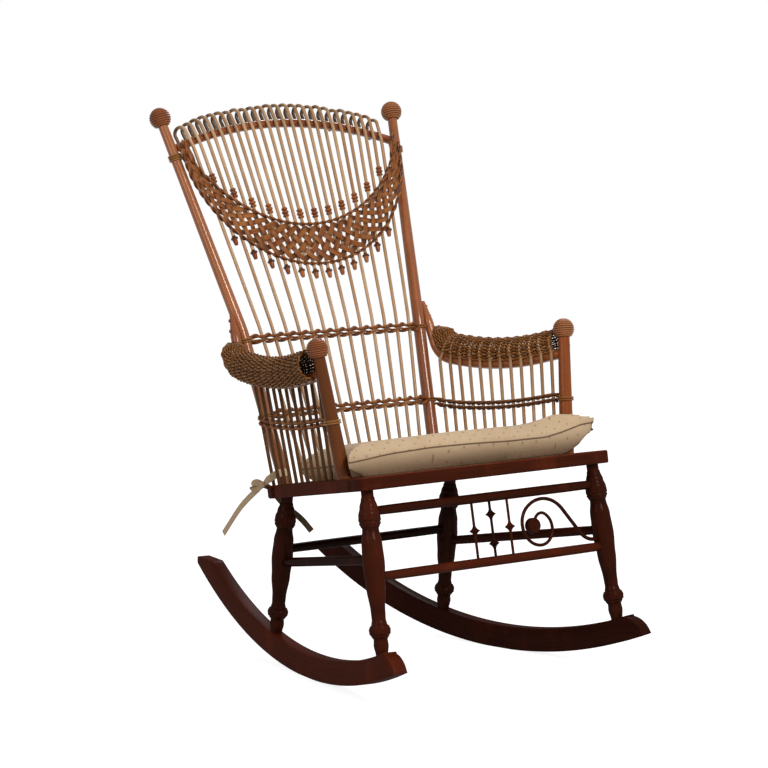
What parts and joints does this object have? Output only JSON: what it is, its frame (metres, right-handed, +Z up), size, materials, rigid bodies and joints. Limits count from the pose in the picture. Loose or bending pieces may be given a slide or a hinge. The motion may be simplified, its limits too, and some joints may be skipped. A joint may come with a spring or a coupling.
{
  "type": "stick back rocking chair",
  "caption": "Rocking chair with turned legs on curved rockers, a reed stick back with looped top border and woven crescent, rolled woven arms and a tied seat cushion.",
  "frame": {"origin": "centre of the bounding box at floor level, midway between the rocker ends and between the rockers", "axes": "+Z up, the sitter faces -Y, the sitter's left hand side is +X"},
  "size_m": [0.6656, 0.8464, 1.0692],
  "materials": {
    "varnished_wood": "glossy red-brown varnish, worn at the edges",
    "dark_wood": "dark red-brown varnish",
    "reed": "golden-brown varnished reed",
    "woven_reed": "brown varnished woven fibre",
    "bead_wood": "orange-brown turned wood",
    "cane": "varnished cane",
    "steel": "dull nail heads",
    "cushion_cloth": "beige jacquard with small dots"
  },
  "bodies": {
    "root": {"left_rocker": "varnished_wood", "right_rocker": "varnished_wood", "front_left_leg": "dark_wood", "front_right_leg": "dark_wood", "rear_left_leg": "dark_wood", "rear_right_leg": "dark_wood", "front_upper_stretcher": "dark_wood", "front_lower_stretcher": "dark_wood", "left_side_stretcher": "dark_wood", "right_side_stretcher": "dark_wood", "rear_stretcher": "dark_wood", "left_fret_stick": "dark_wood", "middle_fret_stick": "dark_wood", "right_fret_stick": "dark_wood", "scroll_reed": "woven_reed", "scroll_boss": "woven_reed", "seat_front_rail": "varnished_wood", "seat_left_rail": "varnished_wood", "seat_right_rail": "varnished_wood", "seat_rear_rail": "varnished_wood", "cane_panel": "cane", "cane_spline": "cane", "left_back_post": "varnished_wood", "right_back_post": "varnished_wood", "top_rail": "varnished_wood", "back_plain_sticks": "reed", "back_beaded_sticks": "reed", "stick_beads": "bead_wood", "acorn_drops": "bead_wood", "crescent_rising_reeds": "woven_reed", "crescent_falling_reeds": "woven_reed", "crescent_upper_border": "woven_reed", "crescent_lower_border": "woven_reed", "back_upper_twining": "woven_reed", "back_lower_twining": "woven_reed", "left_back_ball": "reed", "right_back_ball": "reed", "left_back_ball_winding": "woven_reed", "right_back_ball_winding": "woven_reed", "left_arm_post": "varnished_wood", "right_arm_post": "varnished_wood", "left_arm_ball": "reed", "right_arm_ball": "reed", "left_arm_ball_winding": "woven_reed", "right_arm_ball_winding": "woven_reed", "left_arm_rail": "varnished_wood", "right_arm_rail": "varnished_wood", "left_arm_sticks": "reed", "right_arm_sticks": "reed", "left_arm_twining": "woven_reed", "right_arm_twining": "woven_reed", "left_arm_roll": "woven_reed", "right_arm_roll": "woven_reed", "back_post_wraps": "woven_reed", "arm_post_wraps": "woven_reed", "arm_rail_nails": "steel", "seat_cushion": "cushion_cloth", "left_cushion_tie": "cushion_cloth", "right_cushion_tie": "cushion_cloth"}
  },
  "joints": []
}
